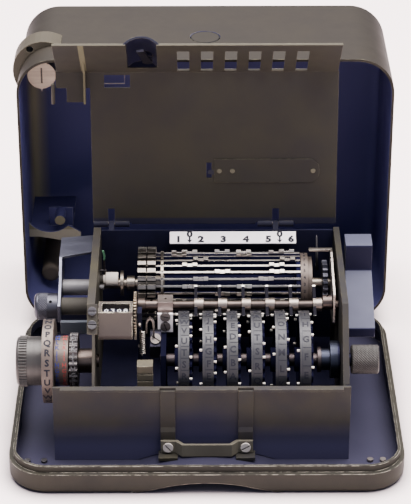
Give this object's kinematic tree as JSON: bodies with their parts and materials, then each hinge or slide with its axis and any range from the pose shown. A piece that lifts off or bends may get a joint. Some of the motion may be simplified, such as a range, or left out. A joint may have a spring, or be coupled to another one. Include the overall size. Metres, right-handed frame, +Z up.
{
  "type": "rotor cipher machine",
  "caption": "Portable mechanical cipher machine: tray with pin wheels, bar drum, letter ring and counter, raised inner cover and deep hinged outer lid standing open.",
  "frame": {"origin": "centre of the tray's underside, at the middle of the groove that rests on the operator's thigh", "axes": "+X to the operator's right, along the drum and the key wheel shaft; +Y away from the operator, towards the lid's hinge; +Z up"},
  "size_m": [0.1829, 0.2185, 0.1749],
  "materials": {
    "case_paint": "semi-matt olive-grey enamel, worn at the edges",
    "frame_paint": "dark olive-grey enamel",
    "steel": "satin steel",
    "blue_steel": "blue-grey steel",
    "bright_steel": "polished steel",
    "alloy": "machined light alloy",
    "dark_steel": "blackened steel",
    "brass": "dull brass",
    "black_dial": "matt black with white numerals",
    "white_enamel": "white enamel with dark numerals",
    "feed_rubber": "dark brown rubber",
    "cream_block": "cream enamel"
  },
  "bodies": {
    "base": {"base_tray": "case_paint", "hinge_pins": "steel", "front_plate": "frame_paint", "front_straps": "frame_paint", "front_catch_bar": "frame_paint", "frame_screws": "steel", "left_side_plate": "frame_paint", "right_side_plate": "frame_paint", "rear_plate": "frame_paint", "mechanism_deck": "frame_paint", "wheel_bearing_plate": "dark_steel", "arm_shaft": "steel", "retainer_plate": "white_enamel", "clamp_block": "dark_steel", "drum_end_bracket": "steel", "scale_strip": "white_enamel", "cover_catch_block": "cream_block", "counter_case": "frame_paint", "tape_bracket": "blue_steel", "tape_guide": "blue_steel", "counter_tens_wheels": "black_dial"},
    "drum": {"drum_spindle": "steel", "slide_bars": "steel", "bar_lugs": "bright_steel", "number_ring": "alloy", "drum_ratchet": "steel", "power_handle": "blue_steel"},
    "reset_shaft": {"key_wheel_shaft": "steel", "reset_knob": "alloy"},
    "setting_unit": {"type_shaft": "steel", "setting_knob": "alloy", "letter_ring": "alloy", "print_disc": "alloy", "type_wheel": "steel"},
    "tape_feed": {"feed_roller": "feed_rubber", "feed_knob": "blue_steel"},
    "tape_press": {"pressure_roller": "steel"},
    "counter_units": {"counter_units_wheel": "black_dial"},
    "counter_drive": {"counter_gear": "brass"},
    "lid": {"outer_lid": "case_paint", "lid_strap_loop": "case_paint", "lid_canister": "alloy", "lid_tool_tube": "dark_steel", "lid_tape_cradle": "frame_paint"},
    "lid_button": {"lid_latch_button": "case_paint"},
    "cover": {"inner_cover": "frame_paint", "cover_spring": "dark_steel"},
    "latch": {"cover_latch": "dark_steel"},
    "wheel_1": {"key_wheel_1": "blue_steel"},
    "arm_1": {"guide_arm_1": "steel"},
    "wheel_2": {"key_wheel_2": "blue_steel"},
    "arm_2": {"guide_arm_2": "steel"},
    "wheel_3": {"key_wheel_3": "blue_steel"},
    "arm_3": {"guide_arm_3": "steel"},
    "wheel_4": {"key_wheel_4": "blue_steel"},
    "arm_4": {"guide_arm_4": "steel"},
    "wheel_5": {"key_wheel_5": "blue_steel"},
    "arm_5": {"guide_arm_5": "steel"},
    "wheel_6": {"key_wheel_6": "blue_steel"},
    "arm_6": {"guide_arm_6": "steel"}
  },
  "joints": [
    {"name": "drum_spin", "type": "hinge", "parent": "base", "child": "drum", "pos_m": [0, 0.03, 0.0514], "axis": [1, 0, 0], "continuous": true},
    {"name": "wheel_1_turn", "type": "hinge", "parent": "base", "child": "wheel_1", "pos_m": [0, -0.016, 0.0369], "axis": [1, 0, 0], "continuous": true},
    {"name": "wheel_2_turn", "type": "hinge", "parent": "base", "child": "wheel_2", "pos_m": [0, -0.016, 0.0369], "axis": [1, 0, 0], "continuous": true},
    {"name": "wheel_3_turn", "type": "hinge", "parent": "base", "child": "wheel_3", "pos_m": [0, -0.016, 0.0369], "axis": [1, 0, 0], "continuous": true},
    {"name": "wheel_4_turn", "type": "hinge", "parent": "base", "child": "wheel_4", "pos_m": [0, -0.016, 0.0369], "axis": [1, 0, 0], "continuous": true},
    {"name": "wheel_5_turn", "type": "hinge", "parent": "base", "child": "wheel_5", "pos_m": [0, -0.016, 0.0369], "axis": [1, 0, 0], "continuous": true},
    {"name": "wheel_6_turn", "type": "hinge", "parent": "base", "child": "wheel_6", "pos_m": [0, -0.016, 0.0369], "axis": [1, 0, 0], "continuous": true},
    {"name": "arm_1_tilt", "type": "hinge", "parent": "base", "child": "arm_1", "pos_m": [0, 0.003, 0.055], "axis": [1, 0, 0], "range_deg": [0, 6], "stiffness_Nm_per_rad": 0.002, "springref_deg": -5.73},
    {"name": "arm_2_tilt", "type": "hinge", "parent": "base", "child": "arm_2", "pos_m": [0, 0.003, 0.055], "axis": [1, 0, 0], "range_deg": [0, 6], "stiffness_Nm_per_rad": 0.002, "springref_deg": -5.73},
    {"name": "arm_3_tilt", "type": "hinge", "parent": "base", "child": "arm_3", "pos_m": [0, 0.003, 0.055], "axis": [1, 0, 0], "range_deg": [0, 6], "stiffness_Nm_per_rad": 0.002, "springref_deg": -5.73},
    {"name": "arm_4_tilt", "type": "hinge", "parent": "base", "child": "arm_4", "pos_m": [0, 0.003, 0.055], "axis": [1, 0, 0], "range_deg": [0, 6], "stiffness_Nm_per_rad": 0.002, "springref_deg": -5.73},
    {"name": "arm_5_tilt", "type": "hinge", "parent": "base", "child": "arm_5", "pos_m": [0, 0.003, 0.055], "axis": [1, 0, 0], "range_deg": [0, 6], "stiffness_Nm_per_rad": 0.002, "springref_deg": -5.73},
    {"name": "arm_6_tilt", "type": "hinge", "parent": "base", "child": "arm_6", "pos_m": [0, 0.003, 0.055], "axis": [1, 0, 0], "range_deg": [0, 6], "stiffness_Nm_per_rad": 0.002, "springref_deg": -5.73},
    {"name": "reset_turn", "type": "hinge", "parent": "base", "child": "reset_shaft", "pos_m": [0, -0.016, 0.0369], "axis": [1, 0, 0], "continuous": true},
    {"name": "setting_turn", "type": "hinge", "parent": "base", "child": "setting_unit", "pos_m": [0, -0.02, 0.039], "axis": [1, 0, 0], "continuous": true},
    {"name": "tape_feed_turn", "type": "hinge", "parent": "base", "child": "tape_feed", "pos_m": [0, 0.012, 0.0493], "axis": [1, 0, 0], "continuous": true},
    {"name": "tape_press_turn", "type": "hinge", "parent": "base", "child": "tape_press", "pos_m": [0, 0.0242, 0.0526], "axis": [1, 0, 0], "continuous": true},
    {"name": "counter_units_turn", "type": "hinge", "parent": "base", "child": "counter_units", "pos_m": [0, -0.019, 0.0603], "axis": [1, 0, 0], "continuous": true},
    {"name": "counter_gear_turn", "type": "hinge", "parent": "base", "child": "counter_drive", "pos_m": [0, -0.008, 0.0557], "axis": [1, 0, 0], "continuous": true},
    {"name": "lid_hinge", "type": "hinge", "parent": "base", "child": "lid", "pos_m": [0, 0.0705, 0.005], "axis": [1, 0, 0], "range_deg": [0, 5]},
    {"name": "lid_button_press", "type": "slide", "parent": "lid", "child": "lid_button", "axis": [0, 0, -1], "range_m": [0, 0.0015], "stiffness_N_per_m": 200, "springref_m": -0.002},
    {"name": "cover_hinge", "type": "hinge", "parent": "base", "child": "cover", "pos_m": [0, 0.055, 0.0702], "axis": [1, 0, 0], "range_deg": [0, 94]},
    {"name": "cover_latch_turn", "type": "hinge", "parent": "cover", "child": "latch", "pos_m": [-0.0266, 0.04844, 0.15907], "axis": [0, 0.6756, 0.7373], "range_deg": [0, 90]}
  ],
  "couplings": [
    {"joint": "wheel_1_turn", "follows": "drum_spin", "ratio": -0.038462},
    {"joint": "wheel_2_turn", "follows": "drum_spin", "ratio": -0.04},
    {"joint": "wheel_3_turn", "follows": "drum_spin", "ratio": -0.043478},
    {"joint": "wheel_4_turn", "follows": "drum_spin", "ratio": -0.047619},
    {"joint": "wheel_5_turn", "follows": "drum_spin", "ratio": -0.052632},
    {"joint": "wheel_6_turn", "follows": "drum_spin", "ratio": -0.058824},
    {"joint": "counter_units_turn", "follows": "drum_spin", "ratio": 0.1},
    {"joint": "counter_gear_turn", "follows": "drum_spin", "ratio": -0.5}
  ]
}
